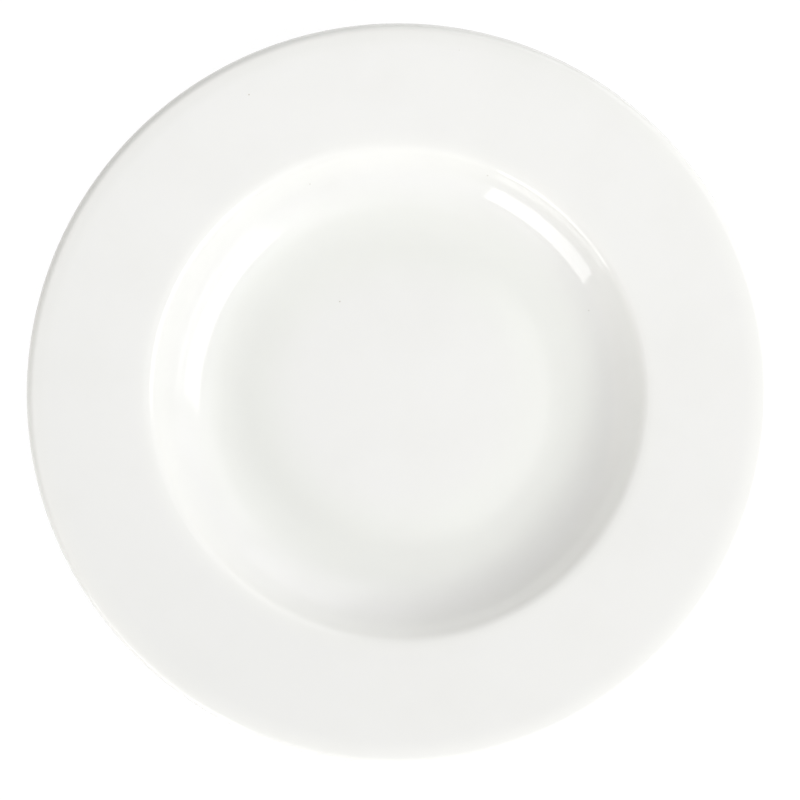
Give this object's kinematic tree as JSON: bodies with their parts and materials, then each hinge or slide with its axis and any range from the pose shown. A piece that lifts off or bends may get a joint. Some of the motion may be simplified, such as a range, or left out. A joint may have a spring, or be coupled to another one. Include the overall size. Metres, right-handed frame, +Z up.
{
  "type": "pasta plate",
  "caption": "Round white porcelain pasta plate with a deep well, a wide rising rim with a rolled lip, and a bare foot ring to stand on.",
  "frame": {"origin": "on the plate's axis, at the bearing face of the foot ring", "axes": "+Z up along the plate's axis, out of the well; X and Y lie across the plate, which looks the same from every side"},
  "size_m": [0.3, 0.3, 0.0394],
  "materials": {
    "bare_porcelain": "fired unglazed porcelain, matt and fine-grained",
    "white_glaze": "white porcelain under a smooth high-gloss glaze"
  },
  "bodies": {
    "root": {"porcelain_body": "bare_porcelain", "face_glaze": "white_glaze", "base_glaze": "white_glaze"}
  },
  "joints": []
}
